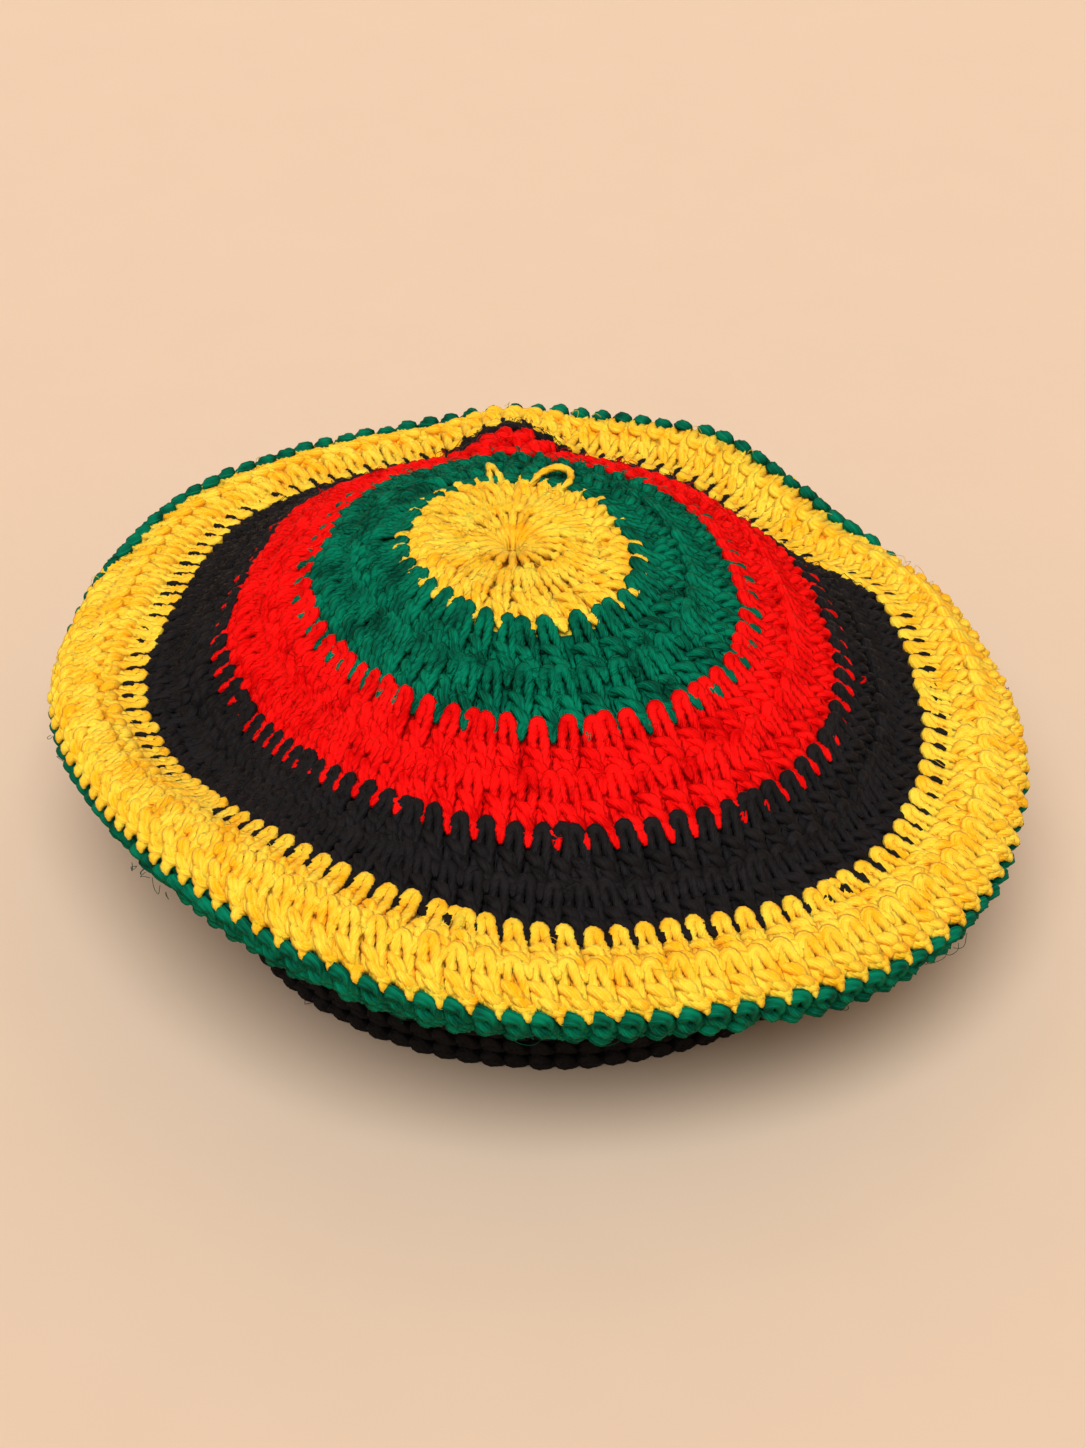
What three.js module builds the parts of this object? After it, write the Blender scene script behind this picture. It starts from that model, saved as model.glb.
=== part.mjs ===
// Crocheted tam: a wide round crown in coloured rounds, rolled under at the rim to a plain headband.
// Millimetres, +Z up. The hat lies on its headband, and the origin is the middle of its foot.
import * as THREE from 'three';

// Driving sizes
const RIM_DIAMETER = 272;
const HEADBAND_DIAMETER = 184;
const HEADBAND_HEIGHT = 30;
const RIM_HEIGHT = 58.5;
const CROWN_RISE = 48.5;
const FABRIC_THICKNESS = 5;
const RIB_DEPTH = 0.8;
const ROUND_CLEARANCE = 0.3;
const CROWN_SHIFT_X = -10;
const CROWN_SHIFT_Y = 1.5;
const FOLD_LIFT = 10;
const FOLD_SPREAD = 10;

// Rounds at the middle of the crown over which the folds die away
const STILL_ROUNDS = 2;

// How finely the fabric is faceted
const SIDES = 72;
const DIRECTION_STEP = 0.02;

// Top of each round of the crown, from the middle out to the rim.
// radius: share of the rim's radius. rise: share of the crown's rise above the rim.
const CROWN_ROUNDS = [
  { name: 'centre', radius: 0, rise: 0.95 },
  { name: 'yellow_1', radius: 0.118, rise: 1 },
  { name: 'yellow_2', radius: 0.235, rise: 0.965 },
  { name: 'green_1', radius: 0.338, rise: 0.87 },
  { name: 'green_2', radius: 0.438, rise: 0.745 },
  { name: 'red_1', radius: 0.532, rise: 0.605 },
  { name: 'red_2', radius: 0.622, rise: 0.435 },
  { name: 'black_1', radius: 0.707, rise: 0.255 },
  { name: 'black_2', radius: 0.805, rise: 0.155 },
  { name: 'rim_yellow_1', radius: 0.92, rise: 0.165 },
  { name: 'rim_yellow_2', radius: 1, rise: 0 },
];

// Rounds of the underside, from the rim in to the headband.
// reach: share of the way out from headband to rim. height: share of the way up from headband to rim.
// hold: how firmly the headband keeps the round flat and centred, from 0 to 1.
const UNDERSIDE_ROUNDS = [
  { name: 'green_edge_1', reach: 0.92, height: 0.6, hold: 0.05 },
  { name: 'green_edge_2', reach: 0.64, height: 0.35, hold: 0.25 },
  { name: 'black_under_1', reach: 0.29, height: 0.2, hold: 0.7 },
  { name: 'black_under_2', reach: 0, height: 0, hold: 1 },
];

// Single-crochet rounds of the headband, from its top down to its foot. drop: share of its height.
const HEADBAND_ROUNDS = [
  { name: 'band_1', drop: 1 / 6 },
  { name: 'band_2', drop: 2 / 6 },
  { name: 'band_3', drop: 3 / 6 },
  { name: 'band_4', drop: 4 / 6 },
  { name: 'band_5', drop: 5 / 6 },
  { name: 'band_6', drop: 1 },
];

// Folds and hollows that the slack crown falls into.
// azimuth, halfWidth: degrees round the crown, 0 to the right and 90 to the back.
// ring: the round where the fold is deepest. inner, outer: rounds over which it fades out.
// lift, spread: shares of the fold sizes, upwards and outwards.
const FOLDS = [
  { name: 'ridge_back', azimuth: 91, halfWidth: 14, ring: 7.4, inner: 5, outer: 2.9, lift: 1, spread: 0.4 },
  { name: 'rise_back_right', azimuth: 62, halfWidth: 40, ring: 9.7, inner: 1.6, outer: 2, lift: 0.55, spread: -0.1 },
  { name: 'hollow_back_right', azimuth: 40, halfWidth: 27, ring: 8.3, inner: 3.7, outer: 5.5, lift: -0.65, spread: -0.65 },
  { name: 'hollow_right', azimuth: 15, halfWidth: 29, ring: 11, inner: 3, outer: 5, lift: -0.75, spread: -0.4 },
  { name: 'spread_front', azimuth: 295, halfWidth: 82, ring: 5, inner: 11.5, outer: 9, lift: 0, spread: 1.5 },
  { name: 'droop_front_right', azimuth: 325, halfWidth: 49, ring: 12, inner: 10.5, outer: 3, lift: -0.95, spread: 0.7 },
  { name: 'ridge_front_left', azimuth: 240, halfWidth: 44, ring: 8.5, inner: 4.2, outer: 11, lift: 1.2, spread: 0.1 },
  { name: 'hollow_left', azimuth: 210, halfWidth: 48, ring: 6.5, inner: 5.5, outer: 3.3, lift: -0.95, spread: -0.75 },
  { name: 'rise_left', azimuth: 206, halfWidth: 56, ring: 10, inner: 3.3, outer: 7.5, lift: 0.45, spread: -1.25 },
  { name: 'hollow_left_back', azimuth: 163, halfWidth: 30, ring: 8, inner: 8, outer: 6, lift: 0.25, spread: -0.9 },
];

// The pieces. from, to: the rounds where a colour starts and ends.
// outerRows, innerRows: rows of facets on the outside and the inside of the fabric.
const PIECES = [
  { name: 'centre_disc', colour: 'yellow', from: 0, to: 2, outerRows: 4, innerRows: 2 },
  { name: 'green_ring', colour: 'green', from: 2, to: 4, outerRows: 4, innerRows: 2 },
  { name: 'red_ring', colour: 'red', from: 4, to: 6, outerRows: 4, innerRows: 2 },
  { name: 'black_ring', colour: 'black', from: 6, to: 8, outerRows: 4, innerRows: 2 },
  { name: 'yellow_rim', colour: 'yellow', from: 8, to: 10, outerRows: 6, innerRows: 4 },
  { name: 'green_edge', colour: 'green', from: 10, to: 12, outerRows: 4, innerRows: 4 },
  { name: 'black_underside', colour: 'black', from: 12, to: 14, outerRows: 4, innerRows: 2 },
  { name: 'headband', colour: 'black', from: 14, to: 20, outerRows: 12, innerRows: 1 },
];

const YARNS = {
  yellow: new THREE.MeshStandardMaterial({ color: 0xf7b815, roughness: 0.85, metalness: 0 }),
  green: new THREE.MeshStandardMaterial({ color: 0x00734a, roughness: 0.85, metalness: 0 }),
  red: new THREE.MeshStandardMaterial({ color: 0xe8140c, roughness: 0.85, metalness: 0 }),
  black: new THREE.MeshStandardMaterial({ color: 0x151315, roughness: 0.9, metalness: 0 }),
};

// Every round's own radius, height and hold, from the middle of the crown to the headband's foot
const rimRadius = RIM_DIAMETER / 2;
const headbandRadius = HEADBAND_DIAMETER / 2;
const rounds = [
  ...CROWN_ROUNDS.map(({ radius, rise }) => ({
    radius: radius * rimRadius,
    height: RIM_HEIGHT + rise * CROWN_RISE,
    hold: 0,
  })),
  ...UNDERSIDE_ROUNDS.map(({ reach, height, hold }) => ({
    radius: THREE.MathUtils.lerp(headbandRadius, rimRadius, reach),
    height: THREE.MathUtils.lerp(HEADBAND_HEIGHT, RIM_HEIGHT, height),
    hold,
  })),
  ...HEADBAND_ROUNDS.map(({ drop }) => ({
    radius: headbandRadius,
    height: HEADBAND_HEIGHT * (1 - drop),
    hold: 1,
  })),
];
const lastRound = rounds.length - 1;
const headbandTop = lastRound - HEADBAND_ROUNDS.length;

// A round's value, carried on past both ends so that the curve through the rounds is smooth there
function roundValue(index, column) {
  if (index < 0) {
    const mirrored = rounds[-index][column];
    return column === 'radius' ? -mirrored : mirrored;
  }
  if (index > lastRound) {
    return 2 * rounds[lastRound][column] - rounds[lastRound - 1][column];
  }
  return rounds[index][column];
}

// A column's value at any place counted in rounds: on a smooth curve (Catmull-Rom) through the crown
// and the underside, and straight down the headband
function along(place, column) {
  const index = Math.min(Math.floor(place), lastRound - 1);
  const t = place - index;
  const [a, b, c, d] = [-1, 0, 1, 2].map((step) => roundValue(index + step, column));
  if (index >= headbandTop) {
    return THREE.MathUtils.lerp(b, c, t);
  }
  return b + 0.5 * t * (c - a + t * (2 * a - 5 * b + 4 * c - d + t * (3 * (b - c) + d - a)));
}

// 1 in the middle of a fold and 0 at its edge, with a soft slope between
function swell(offset) {
  return 0.5 + 0.5 * Math.cos(Math.PI * Math.min(Math.abs(offset), 1));
}

// How far the folds lift and spread the fabric at one place
function foldAt(place, azimuth) {
  const stir = Math.min(place / STILL_ROUNDS, 1);
  let lift = 0;
  let spread = 0;
  for (const fold of FOLDS) {
    const turn = THREE.MathUtils.euclideanModulo(azimuth - fold.azimuth + 180, 360) - 180;
    const reach = place < fold.ring ? fold.inner : fold.outer;
    const share = stir * swell(turn / fold.halfWidth) * swell((place - fold.ring) / reach);
    lift += share * fold.lift * FOLD_LIFT;
    spread += share * fold.spread * FOLD_SPREAD;
  }
  return { lift, spread };
}

// A point of the fabric's outside. place: rounds from the middle. azimuth: degrees.
function fabricPoint(place, azimuth) {
  const slack = 1 - along(place, 'hold');
  const fold = foldAt(place, azimuth);
  const radius = along(place, 'radius') + slack * fold.spread;
  const angle = THREE.MathUtils.degToRad(azimuth);
  return new THREE.Vector3(
    slack * CROWN_SHIFT_X + radius * Math.cos(angle),
    slack * CROWN_SHIFT_Y + radius * Math.sin(angle),
    along(place, 'height') + slack * fold.lift,
  );
}

// The fabric's two directions at a place: growth runs from round to round, and outward is square to
// the fabric, up on the crown, down on the underside and sideways on the headband.
function fabricDirections(place, azimuth) {
  if (place < DIRECTION_STEP) {
    return { growth: new THREE.Vector3(), outward: new THREE.Vector3(0, 0, 1) };
  }
  const before = fabricPoint(place - DIRECTION_STEP, azimuth);
  const growth = fabricPoint(Math.min(place + DIRECTION_STEP, lastRound), azimuth).sub(before).normalize();
  const sideways = fabricPoint(place, azimuth + 1).sub(fabricPoint(place, azimuth - 1));
  return { growth, outward: growth.clone().cross(sideways).normalize() };
}

// Each round swells between the grooves where it joins its neighbours
function ribDrop(place) {
  return RIB_DEPTH * (1 - Math.abs(Math.sin(Math.PI * place)));
}

// A point of a wall's surface. depth: how far below the fabric's outside. shift: how far along it.
function wallPoint(place, azimuth, depth, shift) {
  const { growth, outward } = fabricDirections(place, azimuth);
  return fabricPoint(place, azimuth).addScaledVector(outward, -depth).addScaledVector(growth, shift);
}

// The rows of points of one piece: out along its outside, then back along its inside.
// Its ends are shifted back by half the clearance, apart from the middle and the headband's foot.
function wallRows(piece) {
  const rowAt = (share, isInner) => {
    const place = THREE.MathUtils.lerp(piece.from, piece.to, share);
    const depth = isInner ? FABRIC_THICKNESS : ribDrop(place);
    let shift = 0;
    if (share === 0 && place > 0) {
      shift = ROUND_CLEARANCE / 2;
    }
    if (share === 1 && place < lastRound) {
      shift = -ROUND_CLEARANCE / 2;
    }
    return { place, depth, shift };
  };
  const rowsAt = (count, isInner) => (
    Array.from({ length: count + 1 }, (unused, row) => rowAt(row / count, isInner))
  );
  return [...rowsAt(piece.outerRows, false), ...rowsAt(piece.innerRows, true).reverse()];
}

// A closed wall of fabric, faceted between its rows. A row at the hat's middle is a single point.
function fabricWall(piece) {
  const positions = [];
  const rows = wallRows(piece).map(({ place, depth, shift }) => {
    const row = { start: positions.length / 3, isPoint: place === 0 };
    for (let side = 0; side < (row.isPoint ? 1 : SIDES); side += 1) {
      positions.push(...wallPoint(place, (side * 360) / SIDES, depth, shift).toArray());
    }
    return row;
  });

  const faces = [];
  rows.forEach((here, index) => {
    const next = rows[(index + 1) % rows.length];
    for (let side = 0; side < SIDES; side += 1) {
      const after = (side + 1) % SIDES;
      if (!next.isPoint) {
        faces.push(here.start + (here.isPoint ? 0 : side), next.start + side, next.start + after);
      }
      if (!here.isPoint) {
        faces.push(here.start + side, next.start + (next.isPoint ? 0 : after), here.start + after);
      }
    }
  });

  const geometry = new THREE.BufferGeometry();
  geometry.setAttribute('position', new THREE.Float32BufferAttribute(positions, 3));
  geometry.setIndex(faces);
  geometry.computeVertexNormals();
  return geometry;
}

const hat = new THREE.Group();
for (const piece of PIECES) {
  const mesh = new THREE.Mesh(fabricWall(piece), YARNS[piece.colour]);
  mesh.name = piece.name;
  hat.add(mesh);
}

// The origin is the middle of the hat's extent, on the surface that the headband stands on
const extent = new THREE.Box3().setFromObject(hat);
const middle = extent.getCenter(new THREE.Vector3());
hat.position.set(-middle.x, -middle.y, -extent.min.z);

const tam = new THREE.Group();
tam.add(hat);

export default tam;
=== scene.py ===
# %% [markdown]
# A crocheted tam: a wide round crown worked in coloured rounds, turned under at the rim and drawn in to a
# close headband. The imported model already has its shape, its folds and its size as plain walls. This file
# covers those walls with yarn: every stitch is made of strands of yarn laid over the fabric's surface.
# The frame comes first, because it says where the hat stands and how large it may be.

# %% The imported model
import math

import bmesh
import bpy
import numpy as np
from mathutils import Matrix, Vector


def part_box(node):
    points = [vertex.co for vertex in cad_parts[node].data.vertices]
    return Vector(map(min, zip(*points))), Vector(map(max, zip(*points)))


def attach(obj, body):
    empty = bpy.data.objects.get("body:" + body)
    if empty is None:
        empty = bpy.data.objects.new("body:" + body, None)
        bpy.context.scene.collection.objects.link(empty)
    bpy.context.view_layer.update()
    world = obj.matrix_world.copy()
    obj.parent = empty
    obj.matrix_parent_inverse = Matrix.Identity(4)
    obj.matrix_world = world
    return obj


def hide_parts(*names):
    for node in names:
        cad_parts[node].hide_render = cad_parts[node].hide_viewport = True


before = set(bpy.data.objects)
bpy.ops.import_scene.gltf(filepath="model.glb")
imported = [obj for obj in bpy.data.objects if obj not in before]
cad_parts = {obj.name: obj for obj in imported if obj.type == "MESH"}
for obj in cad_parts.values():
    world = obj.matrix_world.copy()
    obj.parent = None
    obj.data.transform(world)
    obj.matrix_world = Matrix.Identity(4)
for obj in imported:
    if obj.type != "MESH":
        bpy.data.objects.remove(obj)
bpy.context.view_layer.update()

MM = 0.001
rng = np.random.default_rng(20)
band_low, band_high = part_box("headband")
AXIS = np.array([(band_low.x + band_high.x) / 2, (band_low.y + band_high.y) / 2, band_low.z]) / MM
print("headband axis in mm:", AXIS.round(2))

# %% [markdown]
# The photograph looks down on the hat from the front with a long lens. A camera in Blender gets its place
# from the point it looks at, its distance and its elevation. A lens of 80 mm on a 36 mm sensor gives the
# same perspective, and the camera turns about the X axis only, so that upright lines stay upright.

# %% The camera
ELEVATION = math.radians(35.9)
DISTANCE = 881  # mm
LENS = 79.9  # mm
SENSOR = 36  # mm
AIM = AXIS + np.array([-2.0, -6.3, 50.0])
camera_data = bpy.data.cameras.new("camera")
camera_data.sensor_width = SENSOR
camera_data.lens = LENS
camera_data.clip_end = 20
camera = bpy.data.objects.new("camera", camera_data)
bpy.context.scene.collection.objects.link(camera)
back_off = np.array([0, -math.cos(ELEVATION), math.sin(ELEVATION)]) * DISTANCE
camera.location = Vector((AIM + back_off) * MM)
camera.rotation_euler = (math.pi / 2 - ELEVATION, 0, 0)
bpy.context.scene.camera = camera
bpy.context.scene.view_settings.view_transform = "Standard"
print("camera at", [round(value, 3) for value in camera.location])


# %% [markdown]
# Materials in Blender are networks of nodes. One small function adds a node, sets it up and links what
# feeds it. A second function turns an sRGB hex value, as a paint chart gives it, into the linear
# colour that the shader works with.

# %% Node and colour helpers
def linear(code):
    """An sRGB hex value such as "F2B51D" as linear red, green, blue and alpha."""
    shares = [int(code[at:at + 2], 16) / 255 for at in (0, 2, 4)]
    return [s / 12.92 if s <= 0.04045 else ((s + 0.055) / 1.055) ** 2.4 for s in shares] + [1]


def add_node(tree, kind, inputs=None, **settings):
    """Adds a node. An input is a value, or the output socket that feeds it."""
    node = tree.nodes.new(kind)
    for name, value in settings.items():
        setattr(node, name, value)
    for name, value in (inputs or {}).items():
        if isinstance(value, bpy.types.NodeSocket):
            tree.links.new(value, node.inputs[name])
        else:
            node.inputs[name].default_value = value
    return node


def new_material(name):
    """An empty material and its shader, ready for settings."""
    material = bpy.data.materials.new(name)
    material.use_nodes = True
    tree = material.node_tree
    tree.nodes.clear()
    shader = add_node(tree, "ShaderNodeBsdfPrincipled")
    add_node(tree, "ShaderNodeOutputMaterial", {"Surface": shader.outputs["BSDF"]})
    return material, tree, shader


# %% [markdown]
# The hat stands on a sheet of pale peach paper that runs up behind it in one sweep, so no horizon shows.
# The sweep is one line of points, extruded sideways, with its bend rounded by a bevel. The paper is dyed
# pulp: it is matt, so its roughness is 0.9, and a faint mottle keeps it from looking like plastic.

# %% Floor and backdrop
PAPER_HALF_WIDTH = 3.0
PAPER_FRONT = -2.2
PAPER_BACK = 1.6
PAPER_TOP = 3.0
BEND = 0.7
BEND_SEGMENTS = 24
TOUCHING = 1e-6
MOTTLES_PER_METRE = 30.0  # blotches about 3 cm wide
paper_mesh = bmesh.new()
outline = [(PAPER_FRONT, 0), (PAPER_BACK, 0), (PAPER_BACK, PAPER_TOP)]
line = [paper_mesh.verts.new((-PAPER_HALF_WIDTH, y, z)) for y, z in outline]
edges = [paper_mesh.edges.new(pair) for pair in zip(line, line[1:])]
sweep = bmesh.ops.extrude_edge_only(paper_mesh, edges=edges)
moved = [item for item in sweep["geom"] if isinstance(item, bmesh.types.BMVert)]
bmesh.ops.translate(paper_mesh, verts=moved, vec=(2 * PAPER_HALF_WIDTH, 0, 0))
corner = [edge for edge in paper_mesh.edges
          if all(abs(vert.co.y - PAPER_BACK) + abs(vert.co.z) < TOUCHING for vert in edge.verts)]
bmesh.ops.bevel(paper_mesh, geom=corner, offset=BEND, affect="EDGES",
                segments=BEND_SEGMENTS, profile=0.5, material=-1)
bmesh.ops.recalc_face_normals(paper_mesh, faces=paper_mesh.faces[:])
paper_data = bpy.data.meshes.new("paper")
paper_mesh.to_mesh(paper_data)
paper_mesh.free()
for face in paper_data.polygons:
    face.use_smooth = True
paper = bpy.data.objects.new("paper", paper_data)
bpy.context.scene.collection.objects.link(paper)

paper_material, tree, shader = new_material("matt_peach_paper")
where = add_node(tree, "ShaderNodeTexCoord").outputs["Object"]
mottle = add_node(tree, "ShaderNodeTexNoise",
                  {"Vector": where, "Scale": MOTTLES_PER_METRE, "Detail": 4.0})
tint = add_node(tree, "ShaderNodeMix", {"Factor": mottle.outputs["Fac"], "A": linear("D3BEA3"),
                                        "B": linear("D6C1A6")}, data_type="RGBA")
tree.links.new(tint.outputs["Result"], shader.inputs["Base Color"])
shader.inputs["Roughness"].default_value = 0.9
shader.inputs["Specular IOR Level"].default_value = 0.2
paper_data.materials.append(paper_material)
print("paper faces:", len(paper_data.polygons))

# %% [markdown]
# The light is soft. A big, distant softbox stands in front of the hat, high up and a little to the
# left, and is cool in colour. A sun lamp with a wide angle gives that same even light on the hat and on
# the backdrop. A warm glow from all round stands for the light that a room and its walls give back,
# and it fills the shadows.

# %% Lights
KEY_ELEVATION = math.radians(57)
KEY_TURN = math.radians(-5)
KEY_ANGLE = math.radians(40)
KEY_STRENGTH = 3.4
GLOW_STRENGTH = 0.47
key_data = bpy.data.lights.new("softbox", "SUN")
key_data.energy = KEY_STRENGTH
key_data.angle = KEY_ANGLE
key_data.color = linear("EEF3FF")[:3]
key = bpy.data.objects.new("softbox", key_data)
key.rotation_euler = (math.pi / 2 - KEY_ELEVATION, 0, KEY_TURN)
bpy.context.scene.collection.objects.link(key)
world = bpy.data.worlds.new("studio")
world.use_nodes = True
world.node_tree.nodes["Background"].inputs["Color"].default_value = linear("FFD4AA")
world.node_tree.nodes["Background"].inputs["Strength"].default_value = GLOW_STRENGTH
bpy.context.scene.world = world
print("softbox elevation in degrees:", round(math.degrees(KEY_ELEVATION)))

# %% [markdown]
# The fabric is one surface. A point on it is given by its place, counted in rounds from the middle of
# the crown, and by its azimuth round the hat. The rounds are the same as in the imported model: a radius
# and a height for each one, with a smooth curve through them, and a short table of folds laid over it.
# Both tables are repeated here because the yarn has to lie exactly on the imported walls.

# %% The fabric's surface, in millimetres
RIM_RADIUS, BAND_RADIUS = 136, 92
RIM_HEIGHT, CROWN_RISE, BAND_HEIGHT, BAND_ROUNDS = 58.5, 48.5, 30, 6
CROWN_SHIFT = (-10, 1.5)
FOLD_SIZE = 10
STILL_ROUNDS = 2
PLACE_STEP, AZIMUTH_STEP, MIDDLE_PLACE = 0.02, 1, 0.03
# radius as a share of the rim's radius, rise as a share of the crown's rise
CROWN = [(0, 0.95), (0.118, 1), (0.235, 0.965), (0.338, 0.87), (0.438, 0.745), (0.532, 0.605),
         (0.622, 0.435), (0.707, 0.255), (0.805, 0.155), (0.92, 0.165), (1, 0)]
# reach out from the headband, height above it, and how firmly the headband holds the round
UNDERSIDE = [(0.92, 0.6, 0.05), (0.64, 0.35, 0.25), (0.29, 0.2, 0.7), (0, 0, 1)]
# azimuth, half width in degrees, deepest round, rounds inwards, rounds outwards, lift, spread
FOLDS = [(91, 14, 7.4, 5, 2.9, 1, 0.4), (62, 40, 9.7, 1.6, 2, 0.55, -0.1),
         (40, 27, 8.3, 3.7, 5.5, -0.65, -0.65), (15, 29, 11, 3, 5, -0.75, -0.4),
         (295, 82, 5, 11.5, 9, 0, 1.5), (325, 49, 12, 10.5, 3, -0.95, 0.7),
         (240, 44, 8.5, 4.2, 11, 1.2, 0.1), (210, 48, 6.5, 5.5, 3.3, -0.95, -0.75),
         (206, 56, 10, 3.3, 7.5, 0.45, -1.25), (163, 30, 8, 8, 6, 0.25, -0.9)]
rounds = [(radius * RIM_RADIUS, RIM_HEIGHT + rise * CROWN_RISE, 0) for radius, rise in CROWN]
rounds += [(BAND_RADIUS + reach * (RIM_RADIUS - BAND_RADIUS),
            BAND_HEIGHT + height * (RIM_HEIGHT - BAND_HEIGHT), hold) for reach, height, hold in UNDERSIDE]
rounds += [(BAND_RADIUS, BAND_HEIGHT * (1 - drop / BAND_ROUNDS), 1) for drop in range(1, BAND_ROUNDS + 1)]
rounds = np.array(rounds, float)
LAST = len(rounds) - 1
BAND_TOP = LAST - BAND_ROUNDS
# one round more at each end lets the curve run on smoothly
padded = np.vstack([rounds[1] * (-1, 1, 1), rounds, 2 * rounds[-1] - rounds[-2]])


def ring_values(place):
    """Radius, height and hold at a place: a smooth curve, and a straight line on the headband."""
    index = np.clip(np.floor(place).astype(int), 0, LAST - 1)
    t = (place - index)[..., None]
    a, b, c, d = (padded[index + step] for step in range(4))
    curve = b + 0.5 * t * (c - a + t * (2 * a - 5 * b + 4 * c - d + t * (3 * (b - c) + d - a)))
    return np.where((index >= BAND_TOP)[..., None], b + (c - b) * t, curve)


def swell(x):
    """A smooth hump that is 1 in the middle and 0 from one unit away."""
    return 0.5 + 0.5 * np.cos(np.pi * np.minimum(np.abs(x), 1))


def fabric_point(place, azimuth):
    """The fabric's outside at a place and an azimuth in degrees, in millimetres."""
    radius, height, hold = np.moveaxis(ring_values(place), -1, 0)
    slack = 1 - hold
    stir = np.clip(place / STILL_ROUNDS, 0, 1) * slack * FOLD_SIZE
    for middle, half, ring, inner, outer, lift, spread in FOLDS:
        turn = (azimuth - middle + 180) % 360 - 180
        share = stir * swell(turn / half) * swell((place - ring) / np.where(place < ring, inner, outer))
        radius = radius + spread * share
        height = height + lift * share
    angle = np.radians(azimuth)
    return np.stack([AXIS[0] + slack * CROWN_SHIFT[0] + radius * np.cos(angle),
                     AXIS[1] + slack * CROWN_SHIFT[1] + radius * np.sin(angle), height], -1)


def fabric_outward(place, azimuth):
    """The direction straight out of the fabric, from two short steps along it."""
    growth = fabric_point(place + PLACE_STEP, azimuth) - fabric_point(place - PLACE_STEP, azimuth)
    side = fabric_point(place, azimuth + AZIMUTH_STEP) - fabric_point(place, azimuth - AZIMUTH_STEP)
    outward = np.cross(side, growth)
    # at the very middle the two steps give no direction
    outward[np.abs(place) < MIDDLE_PLACE] = (0, 0, -1)
    return -outward / np.linalg.norm(outward, axis=-1, keepdims=True)


print("top of the crown in mm:", fabric_point(np.array([1.0]), np.array([90.0])).round(1))

# %% [markdown]
# Worsted yarn is three or four plies twisted together. A tube with a lobed outline that turns as it runs
# along the strand gives those plies as real shape. Geometry Nodes does this to every strand of a
# piece at once: the strands are curves, the node group turns them into tubes and keeps two
# attributes, the length along the strand and the place round it, for the yarn's fibres to follow.

# %% The yarn tube
PLIES = 3
PLY_DEPTH = 0.14  # share of the strand's radius
TWIST_LENGTH = 17 * MM
FULL_TURN = 2 * math.pi

yarn_tube = bpy.data.node_groups.new("yarn tube", "GeometryNodeTree")
yarn_tube.interface.new_socket("Geometry", in_out="INPUT", socket_type="NodeSocketGeometry")
yarn_tube.interface.new_socket("Geometry", in_out="OUTPUT", socket_type="NodeSocketGeometry")
strands_in = add_node(yarn_tube, "NodeGroupInput").outputs["Geometry"]
fine = add_node(yarn_tube, "GeometryNodeResampleCurve", {"Curve": strands_in}, mode="EVALUATED")
run = add_node(yarn_tube, "GeometryNodeSplineParameter").outputs["Length"]
turns = add_node(yarn_tube, "ShaderNodeMath", {0: run, 1: FULL_TURN / TWIST_LENGTH}, operation="MULTIPLY")
twisted = add_node(yarn_tube, "GeometryNodeSetCurveTilt",
                   {"Curve": fine.outputs[0], "Tilt": turns.outputs[0]})
measured = add_node(yarn_tube, "GeometryNodeStoreNamedAttribute",
                    {"Geometry": twisted.outputs[0], "Name": "run", "Value": run},
                    data_type="FLOAT", domain="POINT")
ring = add_node(yarn_tube, "GeometryNodeCurvePrimitiveCircle", {"Resolution": 2 * PLIES, "Radius": 1.0})
spot = add_node(yarn_tube, "GeometryNodeInputPosition").outputs[0]
around = add_node(yarn_tube, "GeometryNodeStoreNamedAttribute",
                  {"Geometry": ring.outputs["Curve"], "Name": "around", "Value": spot},
                  data_type="FLOAT_VECTOR", domain="POINT")
count = add_node(yarn_tube, "GeometryNodeInputIndex").outputs[0]
odd = add_node(yarn_tube, "ShaderNodeMath", {0: count, 1: 2.0}, operation="MODULO")
grooved = add_node(yarn_tube, "GeometryNodeStoreNamedAttribute",
                   {"Geometry": around.outputs[0], "Name": "groove", "Value": odd.outputs[0]},
                   data_type="FLOAT", domain="POINT")
pull = add_node(yarn_tube, "ShaderNodeMath", {0: odd.outputs[0], 1: -PLY_DEPTH, 2: 1.0},
                operation="MULTIPLY_ADD")
shrunk = add_node(yarn_tube, "ShaderNodeVectorMath", {0: spot, "Scale": pull.outputs[0]},
                  operation="SCALE")
lobed = add_node(yarn_tube, "GeometryNodeSetPosition",
                 {"Geometry": grooved.outputs[0], "Position": shrunk.outputs[0]})
girth = add_node(yarn_tube, "GeometryNodeInputRadius").outputs[0]
tube = add_node(yarn_tube, "GeometryNodeCurveToMesh",
                {"Curve": measured.outputs[0], "Profile Curve": lobed.outputs[0], "Scale": girth,
                 "Fill Caps": True})
add_node(yarn_tube, "NodeGroupOutput", {"Geometry": tube.outputs[0]})
print("yarn tube nodes:", len(yarn_tube.nodes))

# %% [markdown]
# A double crochet stitch seen from outside is a hairpin of yarn whose bend points to the middle of the
# crown, with two wraps laid across its legs, a small bump beside it, and a curved bar at the outer end.
# A pointed tooth at that end goes down between the hairpins of the next round, and makes the sharp
# zigzag where the colour changes. Each of these is one short strand, drawn by a few points in the
# stitch's own measures: across it, along the round, and height in yarn radii. A NURBS curve smooths
# the points. The stitches of the middle round are plain fat posts that dive into the dimple.

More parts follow.
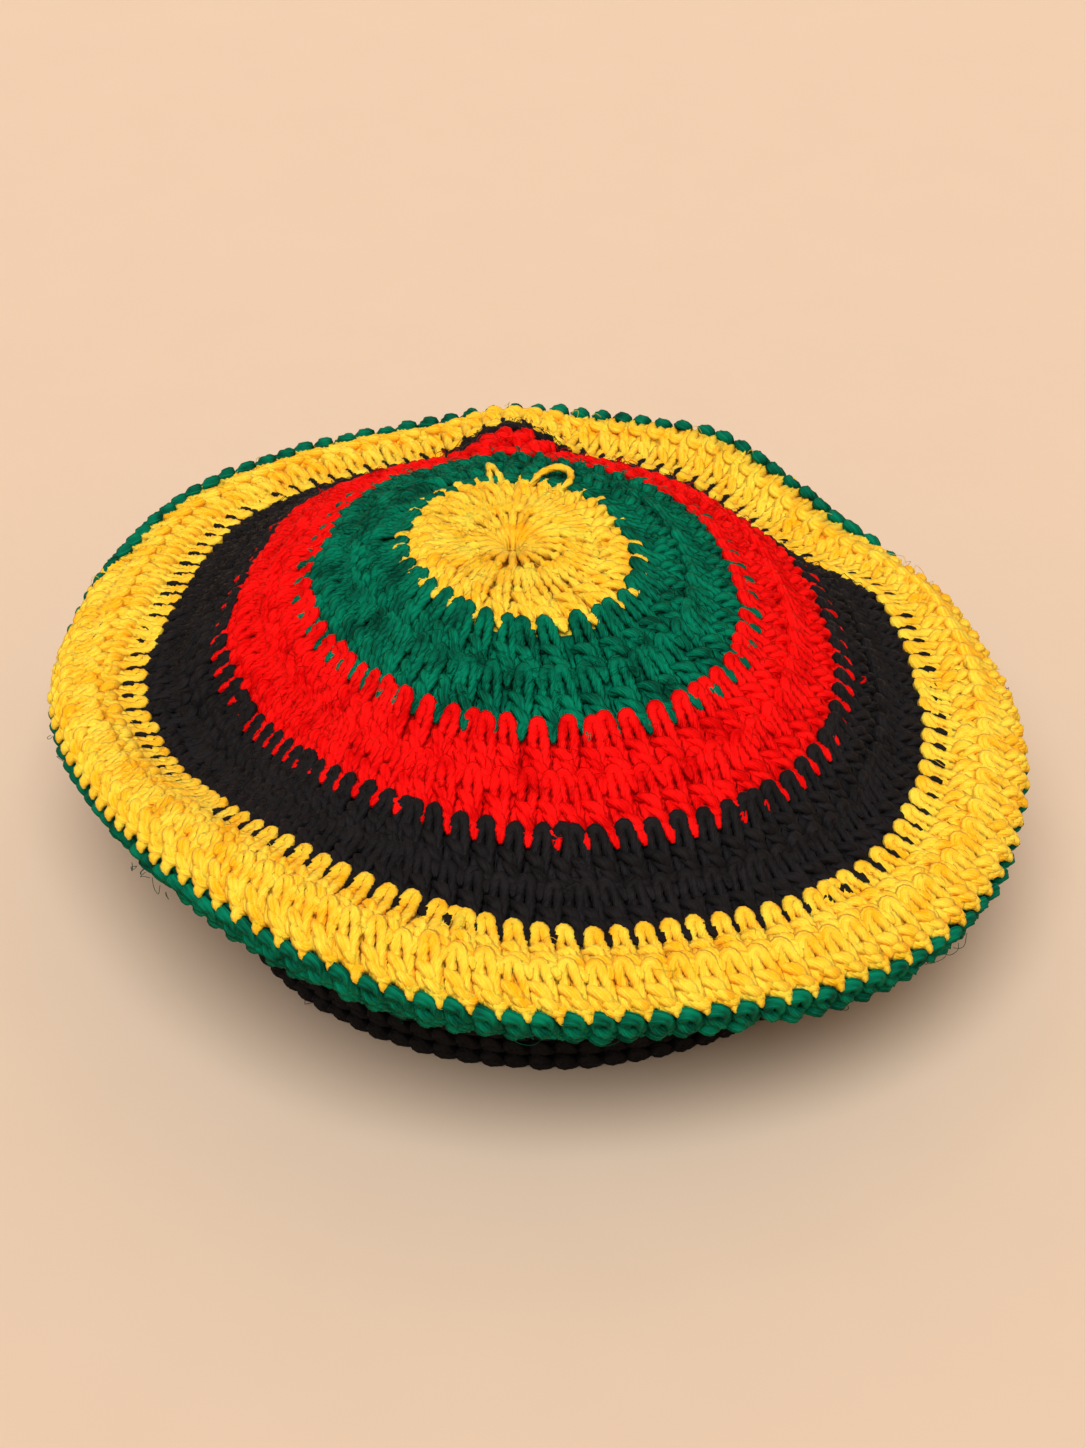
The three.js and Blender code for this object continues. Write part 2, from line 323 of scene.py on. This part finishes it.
# %% The strands of a stitch
# across: share of the stitch's width. along: share of the round's height, outwards.
# high: yarn radii, where 1 touches the fabric's outside. thick: share of the yarn's radius.
DOUBLE_CROCHET = {
    "hairpin": [(-0.16, 0.72, -0.8, 0.95), (-0.23, 0.45, 0.6, 1.1), (-0.25, 0.14, 1.0, 1.15),
                (-0.22, -0.12, 1.7, 1.2), (0.0, -0.20, 2.0, 1.2), (0.22, -0.12, 1.7, 1.2),
                (0.25, 0.14, 1.2, 1.15), (0.22, 0.45, 1.05, 1.1), (0.21, 0.74, 0.8, 1.05),
                (0.25, 0.96, -0.8, 0.9)],
    "wrap": [(-0.53, 0.30, -1.0, 0.95), (-0.42, 0.36, 0.9, 1.1), (-0.20, 0.44, 1.7, 1.2),
             (0.02, 0.55, 1.5, 1.2), (0.16, 0.70, -0.4, 1.0)],
    "under_wrap": [(-0.34, 0.52, -0.4, 0.95), (-0.20, 0.60, 1.2, 1.1), (0.02, 0.70, 1.6, 1.15),
                   (0.20, 0.80, 1.0, 1.1), (0.30, 0.92, -0.8, 0.95)],
    "bump": [(-0.46, 0.42, -0.8, 1.0), (-0.44, 0.58, 1.0, 1.25), (-0.38, 0.80, 1.1, 1.25),
             (-0.26, 0.98, -0.8, 1.0)],
    "bar": [(-0.24, 0.72, -0.4, 1.0), (-0.14, 0.84, 1.1, 1.15), (0.10, 0.92, 1.3, 1.2),
            (0.32, 0.90, 1.1, 1.15), (0.44, 0.76, -0.6, 1.0)],
    "tooth": [(0.13, 0.80, -0.2, 1.15), (0.13, 0.95, 1.6, 1.3), (0.14, 1.08, 1.8, 1.1),
              (0.15, 1.22, 1.2, 0.4)],
}
RING_STITCH = {
    "post": [(0.04, 1.15, -0.4, 1.1), (0.0, 0.90, 1.3, 1.35), (0.0, 0.55, 1.5, 1.4),
             (0.0, 0.30, 1.0, 1.3), (0.0, 0.18, -0.4, 1.3), (0.0, 0.13, -3.2, 1.2)],
    "bar": [(-0.34, 0.80, -0.6, 0.95), (-0.20, 0.92, 0.5, 1.0), (0.12, 0.99, 0.8, 1.05),
            (0.42, 0.90, 0.4, 1.0), (0.52, 0.76, -0.7, 0.9)],
}
# stitches in each round from the middle of the crown to the headband
STITCHES = [22, 32, 45, 59, 74, 88, 102, 116, 124, 124, 124, 108, 94, 84]
FOOT_STEP = 0.62  # how far past the parent's middle a foot goes in, in parents
TWIN_STEP = 0.24  # how far two feet in the same gap stand to each side, in parents

# The yarn's radius in mm. A strand is thinner where a stitch has less room than usual.
YARN_RADIUS = 1.5
USUAL_WIDTH = 6.0  # mm, the stitch width at which a strand has its full radius
ROOM_LIMITS = (0.12, 1.4)
ROOM_POWER = 0.35
GIRTH_LIMITS = (0.5, 1.1)

# How a worked stitch strays from its figure, as standard deviations: along, across, girth and height
STRAY_ALONG, STRAY_ACROSS, STRAY_GIRTH, STRAY_HEIGHT = 0.02, 0.025, 0.035, 0.12

# Heights in mm. The strands stand a little proud of the solids, more so on the headband, and sink between
# two rounds, so each round puffs up. The yellow disc is calmer where its second round begins.
PROUD = 0.35  # in yarn radii
BAND_PROUD = 1.2
ROUND_PUFF = 1.1
CENTRE_CALM = 0.9
# the disc's second round spreads most, so its teeth are kept short, and lifted over the green
DISC_ROUND = 1
TOOTH_START = 0.9
TOOTH_REACH = 0.45
TOOTH_RISE = 0.05
TOOTH_LIFT = 0.3

# The first green round turns under the rim. At the back, where the rim stands up, it starts early and
# shows as bumps behind the yellow. At the front it shows below the rim, and at the sides it is tucked
# away. For each azimuth: the share of a round by which it starts later, and its lift in mm.
EDGE_ROUND = 10
EDGE_AZIMUTHS = (0, 24, 38, 155, 172, 222, 248, 315, 338, 360)
EDGE_STARTS = (0.5, 0.5, -0.42, -0.42, 0.5, 0.5, 0.22, 0.22, 0.5, 0.5)
EDGE_LIFTS = (-1.8, -1.8, 0.6, 0.6, -1.8, -1.8, 0, 0, -1.8, -1.8)

# The strands keep within these places, so that none crosses the middle or pokes through the floor
FIRST_PLACE = 0.1
LAST_PLACE = LAST - 0.32


def stitch_azimuths(index):
    """For each stitch of a round: azimuths of its foot and outer end, and its width, in degrees."""
    count = STITCHES[index]
    width = 360 / count
    outer = (np.arange(count) + 0.5) * width
    if index == 0:
        return outer, outer, width
    # a foot goes in between two teeth of the round before
    before = STITCHES[index - 1]
    parent = np.round((np.arange(count) + 0.5) * before / count - 0.5 - FOOT_STEP).astype(int)
    foot = (parent + 0.5 + FOOT_STEP) * 360 / before
    twins = np.bincount(parent % before, minlength=before)[parent % before] > 1
    first = np.append(parent[1:] == parent[:-1], False)
    foot = foot + np.where(twins, np.where(first, -TWIN_STEP, TWIN_STEP) * 360 / before, 0)
    return foot, outer, width


def add_strand(curve, path, radii):
    """One strand as a smooth NURBS spline, from points and radii in millimetres."""
    spline = curve.splines.new("NURBS")
    spline.points.add(len(path) - 1)
    spline.points.foreach_set("co", np.column_stack([path * MM, np.ones(len(path))]).ravel())
    spline.points.foreach_set("radius", radii * MM)
    spline.order_u = 4
    spline.resolution_u = 2
    spline.use_endpoint_u = True


def lay_stitch(curve, index, strand):
    """Lays one strand of every stitch of a round on the fabric, as NURBS splines of a curve."""
    across, along, high, thick = np.array(strand, float).T
    foot, outer, width = stitch_azimuths(index)
    jitter = rng.normal(0, 1, (len(foot), 4))
    along_all = along[None] + jitter[:, :1] * STRAY_ALONG
    if index == DISC_ROUND:
        short = TOOTH_START + (along_all - TOOTH_START) * TOOTH_REACH
        along_all = np.where(along_all > TOOTH_START, short, along_all)
    azimuth = foot[:, None] + (outer - foot)[:, None] * along_all
    azimuth = azimuth + (across[None] + jitter[:, 1:2] * STRAY_ACROSS) * width
    start = np.interp(azimuth % 360, EDGE_AZIMUTHS, EDGE_STARTS) if index == EDGE_ROUND else 0
    place = np.clip(index + start + along_all * (1 - start), FIRST_PLACE, LAST_PLACE)
    radius = ring_values(place)[..., 0]
    room = np.clip(np.radians(width) * radius / USUAL_WIDTH, *ROOM_LIMITS) ** ROOM_POWER
    girth = YARN_RADIUS * thick[None] * np.clip(room, *GIRTH_LIMITS) * (1 + jitter[:, 2:3] * STRAY_GIRTH)
    # at a height of 1 the strand's middle lies one radius below the solids' outside, so its top touches it
    lift = (high[None] + jitter[:, 3:] * STRAY_HEIGHT - 2 + PROUD) * girth
    lift = lift - ROUND_PUFF * (1 - np.abs(np.sin(np.pi * place))) * np.clip(place - 1, 0, 1)
    edge_lift = np.interp(azimuth % 360, EDGE_AZIMUTHS, EDGE_LIFTS)
    if index == DISC_ROUND:
        lift = lift - CENTRE_CALM * np.clip(1 - 2 * along_all, 0, 1.2)
        lift = lift + TOOTH_LIFT * np.clip((along_all - TOOTH_START) / TOOTH_RISE, 0, 1)
    if index == EDGE_ROUND:
        lift = lift + edge_lift
    if index == EDGE_ROUND + 1:
        lift = lift + np.minimum(edge_lift, 0)
    if index >= BAND_TOP:
        lift = lift + BAND_PROUD
    points = fabric_point(place, azimuth) + fabric_outward(place, azimuth) * lift[..., None]
    for path, radii in zip(points, girth):
        add_strand(curve, path, radii)


# %% [markdown]
# The headband is worked in close single crochet, whose stitches are small leaning loops, one for each
# stitch, each with a short bar across its foot.

# %% The strands of the headband
SINGLE_CROCHET = {
    "loop": [(-0.22, 0.9, -0.8, 0.9), (-0.28, 0.45, 0.9, 1), (0.0, -0.15, 1.1, 1), (0.3, 0.4, 1.0, 1),
             (0.3, 1.0, -0.6, 0.9)],
    "bar": [(-0.5, 0.85, -0.6, 0.85), (-0.2, 0.75, 0.9, 0.95), (0.2, 0.8, 0.9, 0.95),
            (0.5, 0.9, -0.6, 0.85)],
}
BAND_STITCHES = 89
STITCHES += [BAND_STITCHES] * BAND_ROUNDS
print("stitches in all:", sum(STITCHES))

# %% [markdown]
# Worked yarn is never perfect. At the back of the yellow disc one strand is pulled up into an open loop
# and another into a point, and a crumb of red yarn sits on the black. Fine fibres stand off the yarn all
# over: each one is a thin strand whose place and azimuth wander a little from point to point.

# %% Pulled yarn and loose fibres
# place, azimuth, millimetres above the fabric, and radius in millimetres
PULLED = {
    "centre_disc": [
        [(1.62, 80, -0.5, 1.1), (1.85, 78, 1.6, 1.2), (2.10, 73, 2.6, 1.2), (2.22, 67.5, 2.9, 1.2),
         (2.12, 62, 2.4, 1.2), (1.88, 59, 1.4, 1.2), (1.62, 60, -0.5, 1.1)],
        [(1.62, 96, -0.5, 1.2), (1.95, 98, 1.8, 1.2), (2.30, 100.5, 2.2, 0.8), (2.34, 101.5, 2.2, 0.7),
         (2.00, 102, 1.8, 1.1), (1.65, 103, -0.5, 1.2)],
    ],
    "red_ring": [
        [(6.36, 346.2, 0.4, 0.4), (6.42, 346.9, 1.7, 0.5), (6.45, 347.8, 1.6, 0.45),
         (6.42, 348.4, 0.2, 0.3)],
    ],
}
FIBRE_RADIUS = 0.09
# heights of a fibre's points in mm, and how much they stray
FIBRE_LIFT = np.array([0.8, 2.0, 2.5, 2.0, 0.7])
FIBRE_STRAY = 0.25
FIBRE_POINTS = len(FIBRE_LIFT)
# steps from point to point: in rounds, and in mm along a round
FIBRE_CLIMB = 0.1
FIBRE_SWAY = 1.3
# fibres begin this far inside their piece's rounds, and keep clear of its outer end and of the middle
FIBRE_MARGINS = (0.3, 0.5)
FIBRE_END = 0.35
FIBRE_FIRST_PLACE = 0.3


def lay_fibres(curve, first, last, number):
    """Loose fibres that wander over the stitches, with both ends in the yarn."""
    lowest = max(first, FIBRE_FIRST_PLACE)
    highest = min(last - FIBRE_END, LAST_PLACE)
    for _ in range(number):
        start = rng.uniform(first + FIBRE_MARGINS[0], last - FIBRE_MARGINS[1])
        place = np.clip(start + np.cumsum(rng.normal(0, FIBRE_CLIMB, FIBRE_POINTS)), lowest, highest)
        radius = ring_values(place)[:, 0]
        azimuth = rng.uniform(0, 360)
        azimuth = azimuth + np.cumsum(np.degrees(rng.normal(0, FIBRE_SWAY, FIBRE_POINTS) / radius))
        lift = FIBRE_LIFT + rng.normal(0, FIBRE_STRAY, FIBRE_POINTS)
        path = fabric_point(place, azimuth) + fabric_outward(place, azimuth) * lift[:, None]
        add_strand(curve, path, np.full(FIBRE_POINTS, FIBRE_RADIUS))


print("pulled strands:", sum(len(strands) for strands in PULLED.values()))

# %% [markdown]
# Behind the stitches the fabric is closed, as the backs of the stitches are. This backing is a grid,
# bent over the surface a little below the strands and thickened inwards to the inside of the wall. Its
# colour is darker than the yarn's, as painted shade.

# %% The backing
# millimetres: how far below the solids' outside it lies, how thick it is, how much deeper the dimple goes
BACKING_DEPTH = 2.9
BACKING_WALL = 2.0
DIMPLE = 3.0
DIMPLE_REACH = 0.5  # rounds
BACKING_COLUMNS = 144
ROWS_PER_ROUND = 3
WELD = 0.02 * MM


def backing_mesh(first, last):
    """A closed wall below the stitches, from one place to another."""
    rows = ROWS_PER_ROUND * (last - first)
    sheet = bmesh.new()
    bmesh.ops.create_grid(sheet, x_segments=BACKING_COLUMNS, y_segments=rows, size=0.5)
    spots = np.array([(vert.co.x + 0.5, vert.co.y + 0.5) for vert in sheet.verts])
    azimuth = spots[:, 0] * 360
    place = first + spots[:, 1] * (last - first)
    depth = BACKING_DEPTH + DIMPLE * np.clip(1 - place / DIMPLE_REACH, 0, 1)
    points = fabric_point(place, azimuth) - fabric_outward(place, azimuth) * depth[:, None]
    for vert, point in zip(sheet.verts, points):
        vert.co = Vector(point * MM)
    bmesh.ops.remove_doubles(sheet, verts=sheet.verts[:], dist=WELD)
    bmesh.ops.recalc_face_normals(sheet, faces=sheet.faces[:])
    # one face tells whether the sheet faces outward
    middle, front = np.array([first + 0.5]), np.array([0.0])
    outward = Vector(fabric_outward(middle, front)[0])
    anchor = Vector(fabric_point(middle, front)[0] * MM)
    nearest = min(sheet.faces, key=lambda face: (face.calc_center_median() - anchor).length)
    if nearest.normal.dot(outward) < 0:
        bmesh.ops.reverse_faces(sheet, faces=sheet.faces[:])
    bmesh.ops.solidify(sheet, geom=sheet.faces[:], thickness=BACKING_WALL * MM)
    for face in sheet.faces:
        face.smooth = True
    return sheet


# %% [markdown]
# Acrylic yarn is soft plastic fibre, crimped, spun and plied. IOR 1.49 is usual for acrylic, and so is a
# matt skin: crossing fibres scatter the light, so roughness is 0.7 and the glint is weak, a little
# stronger on black, where it is what shows the stitches. The base colour is mixed from two tones by fine
# lines that run with the plies, 0.35 mm high in the bump, and by slow patches about 7 mm wide that
# stand for uneven dye. The colour is also painted darker in the grooves between plies and along a fainter
# line on the top of each ply that parts it in two: this is painted shade, laid over the grooves of the
# lobed tube and of the bump. In yellow and red, light travels half a millimetre under the skin, which
# keeps the gaps warm.

# %% Yarn materials
FIBRE_RELIEF = 0.35 * MM
FIBRE_RUN = 9 * MM  # length of a fibre line along the strand
FIBRE_LINES = 3.2  # how fine the lines are across the strand
PATCHES_PER_METRE = 140.0
# painted shade: how much darker the colour is painted in the ply grooves
PLY_SHADE = -0.28
PLY_RELIEF = -0.6
PLY_PARTING = 0.45
STRAND_WIDTH = 3.2 * MM
STRAND_RELIEF = 1.2 * MM
ACRYLIC_IOR = 1.49
GLOW_RADIUS = (1.0, 0.5, 0.25)
GLOW_SCALE = 0.6 * MM
# light and deep are the yarn's two tones, and deep is also the painted shade in the ply grooves; back is
# painted shade on the backing behind the stitches; fibre is a paler colour for single loose fibres, a
# painted highlight
YARNS = {
    "yellow": {"light": "FFDC46", "deep": "FFB20C", "back": "F08A00", "fibre": "FFF0A8",
               "sheen": 0.03, "glow": 0.5, "shine": 0.05},
    "green": {"light": "007C59", "deep": "003E2C", "back": "002A1A", "fibre": "3CB58E",
              "sheen": 0.0, "glow": 0.0, "shine": 0.05},
    "red": {"light": "FF1410", "deep": "CC0000", "back": "780000", "fibre": "FF6A5E",
            "sheen": 0.0, "glow": 0.25, "shine": 0.05},
    "black": {"light": "181516", "deep": "090808", "back": "040404", "fibre": "88868A",
              "sheen": 0.01, "glow": 0.0, "shine": 0.16},
}


def yarn_material(name, tones):
    """Plied acrylic yarn: fibre lines follow the strand through its run and around attributes."""
    material, tree, shader = new_material(name + "_worsted_acrylic_yarn")
    run = add_node(tree, "ShaderNodeAttribute", attribute_name="run").outputs["Fac"]
    around = add_node(tree, "ShaderNodeAttribute", attribute_name="around").outputs["Vector"]
    slow = add_node(tree, "ShaderNodeMath", {0: run, 1: 1 / FIBRE_RUN}, operation="MULTIPLY")
    sides = add_node(tree, "ShaderNodeSeparateXYZ", {"Vector": around})
    where = add_node(tree, "ShaderNodeTexCoord").outputs["Object"]
    path = add_node(tree, "ShaderNodeCombineXYZ", {"X": sides.outputs["X"], "Y": sides.outputs["Y"],
                                                   "Z": slow.outputs[0]})
    lines = add_node(tree, "ShaderNodeTexNoise", {"Vector": path.outputs[0], "Scale": FIBRE_LINES,
                                                  "Detail": 3.0, "Roughness": 0.65})
    patches = add_node(tree, "ShaderNodeTexNoise", {"Vector": where, "Scale": PATCHES_PER_METRE,
                                                    "Detail": 2.0})
    blend = add_node(tree, "ShaderNodeMath", {0: lines.outputs["Fac"], 1: patches.outputs["Fac"]},
                     operation="ADD")
    # groove is 1 in the grooves between plies; valley and parting turn it into painted shade in the grooves
    # and along each ply's top, and also sink the bump there
    groove = add_node(tree, "ShaderNodeAttribute", attribute_name="groove").outputs["Fac"]
    valley = add_node(tree, "ShaderNodeMapRange", {"Value": groove, "From Min": 0.45, "From Max": 1.0})
    parting = add_node(tree, "ShaderNodeMapRange", {"Value": groove, "From Min": 0.25, "From Max": 0.0,
                                                    "To Max": PLY_PARTING})
    plies = add_node(tree, "ShaderNodeMath", {0: valley.outputs[0], 1: parting.outputs[0]},
                     operation="ADD")
    ramp = add_node(tree, "ShaderNodeMapRange", {"Value": blend.outputs[0], "From Min": 0.7,
                                                 "From Max": 1.15})
    shade = add_node(tree, "ShaderNodeMath", {0: plies.outputs[0], 1: PLY_SHADE, 2: ramp.outputs[0]},
                     operation="MULTIPLY_ADD", use_clamp=True)
    height = add_node(tree, "ShaderNodeMath",
                      {0: plies.outputs[0], 1: PLY_RELIEF, 2: lines.outputs["Fac"]},
                      operation="MULTIPLY_ADD")
    tone = add_node(tree, "ShaderNodeMix", {"Factor": shade.outputs[0], "A": linear(tones["deep"]),
                                            "B": linear(tones["light"])}, data_type="RGBA")
    relief = add_node(tree, "ShaderNodeBump", {"Height": height.outputs[0], "Strength": 1.0,
                                               "Distance": FIBRE_RELIEF})
    tree.links.new(tone.outputs["Result"], shader.inputs["Base Color"])
    tree.links.new(relief.outputs[0], shader.inputs["Normal"])
    shader.inputs["Roughness"].default_value = 0.7
    shader.inputs["IOR"].default_value = ACRYLIC_IOR
    shader.inputs["Specular IOR Level"].default_value = tones["shine"]
    shader.inputs["Subsurface Weight"].default_value = tones["glow"]
    shader.inputs["Subsurface Radius"].default_value = GLOW_RADIUS
    shader.inputs["Subsurface Scale"].default_value = GLOW_SCALE
    shader.inputs["Sheen Weight"].default_value = tones["sheen"]
    shader.inputs["Sheen Roughness"].default_value = 0.4
    return material


def backing_material(name, tones):
    """The backs of the stitches: the same yarn in painted shade, its deep tone on bumps as wide as strands
    and darker between them.
    """
    material, tree, shader = new_material(name + "_yarn_backs")
    where = add_node(tree, "ShaderNodeTexCoord").outputs["Object"]
    lumps = add_node(tree, "ShaderNodeTexVoronoi", {"Vector": where, "Scale": 1 / STRAND_WIDTH})
    relief = add_node(tree, "ShaderNodeBump", {"Height": lumps.outputs["Distance"], "Strength": 0.8,
                                               "Distance": STRAND_RELIEF}, invert=True)
    # painted shade: the deep tone on the bumps and the darker back tone between them
    tone = add_node(tree, "ShaderNodeMix", {"Factor": lumps.outputs["Distance"],
                                            "A": linear(tones["deep"]), "B": linear(tones["back"])},
                    data_type="RGBA")
    tree.links.new(tone.outputs["Result"], shader.inputs["Base Color"])
    tree.links.new(relief.outputs[0], shader.inputs["Normal"])
    shader.inputs["Roughness"].default_value = 0.85
    shader.inputs["IOR"].default_value = ACRYLIC_IOR
    shader.inputs["Specular IOR Level"].default_value = 0.1
    return material


def fibre_material(name, tones):
    """Single loose fibres: paler than the yarn, a painted highlight for the light that thin fibres catch.
    """
    material, tree, shader = new_material(name + "_loose_acrylic_fibre_painted_highlight")
    # painted highlight: the fibre colour is paler than the yarn
    shader.inputs["Base Color"].default_value = linear(tones["fibre"])
    shader.inputs["Roughness"].default_value = 0.5
    shader.inputs["IOR"].default_value = ACRYLIC_IOR
    return material


yarns = {name: yarn_material(name, tones) for name, tones in YARNS.items()}
fibres = {name: fibre_material(name, tones) for name, tones in YARNS.items()}
backs = {name: backing_material(name, tones) for name, tones in YARNS.items()}
print("materials:", [made.name for made in (*yarns.values(), *backs.values(), *fibres.values())])

# %% [markdown]
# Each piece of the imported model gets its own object: the strands of all its stitches as one mesh, joined
# with its backing and its loose fibres, each part with its own material. The strands are made on a curve
# object whose node group is then applied, so that the finished piece is a plain mesh.

# %% The pieces
PIECES = [
    {"node": "centre_disc", "colour": "yellow", "rounds": (0, 2), "fibres": 50},
    {"node": "green_ring", "colour": "green", "rounds": (2, 4), "fibres": 200},
    {"node": "red_ring", "colour": "red", "rounds": (4, 6), "fibres": 120},
    {"node": "black_ring", "colour": "black", "rounds": (6, 8), "fibres": 330},
    {"node": "yellow_rim", "colour": "yellow", "rounds": (8, 10), "fibres": 80},
    {"node": "green_edge", "colour": "green", "rounds": (10, 12), "fibres": 60},
    {"node": "black_underside", "colour": "black", "rounds": (12, 14), "fibres": 30},
    {"node": "headband", "colour": "black", "rounds": (14, 20), "fibres": 60},
]


def tube_mesh(curve):
    """The strands of a curve as one mesh of yarn tubes."""
    holder = bpy.data.objects.new("strands", curve)
    bpy.context.scene.collection.objects.link(holder)
    modifier = holder.modifiers.new("yarn tube", "NODES")
    modifier.node_group = yarn_tube
    graph = bpy.context.evaluated_depsgraph_get()
    mesh = bpy.data.meshes.new_from_object(holder.evaluated_get(graph), preserve_all_data_layers=True,
                                           depsgraph=graph)
    bpy.data.objects.remove(holder)
    return mesh


def new_strands():
    """An empty curve for strands."""
    curve = bpy.data.curves.new("strands", "CURVE")
    curve.dimensions = "3D"
    return curve


def yarn_mesh(name, first, last):
    """All strands of the rounds of one piece as one mesh."""
    curve = new_strands()
    for index in range(first, last):
        strands = SINGLE_CROCHET if index >= BAND_TOP else RING_STITCH if index == 0 else DOUBLE_CROCHET
        for strand in strands.values():
            lay_stitch(curve, index, strand)
    for strand in PULLED.get(name, []):
        place, azimuth, lift, radii = np.array(strand, float).T
        path = fabric_point(place, azimuth) + fabric_outward(place, azimuth) * lift[:, None]
        add_strand(curve, path, radii)
    return tube_mesh(curve)


total = 0
for piece in PIECES:
    first, last = piece["rounds"]
    mesh = yarn_mesh(piece["node"], first, last)
    loose = new_strands()
    lay_fibres(loose, first, last, piece["fibres"])
    wall_data = bpy.data.meshes.new("wall")
    wall = backing_mesh(first, last)
    wall.to_mesh(wall_data)
    wall.free()
    joined = bmesh.new()
    joined.from_mesh(mesh)
    for slot, layer in enumerate((wall_data, tube_mesh(loose)), start=1):
        layer.polygons.foreach_set("material_index", [slot] * len(layer.polygons))
        joined.from_mesh(layer)
    joined.to_mesh(mesh)
    joined.free()
    mesh.materials.clear()
    mesh.materials.append(yarns[piece["colour"]])
    mesh.materials.append(backs[piece["colour"]])
    mesh.materials.append(fibres[piece["colour"]])
    stitched = bpy.data.objects.new(piece["node"] + "_stitches", mesh)
    bpy.context.scene.collection.objects.link(stitched)
    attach(stitched, "root")
    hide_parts(piece["node"])
    triangles = sum(len(face.vertices) - 2 for face in mesh.polygons)
    total += triangles
    print(stitched.name, "triangles:", triangles)
print("triangles in all:", total)
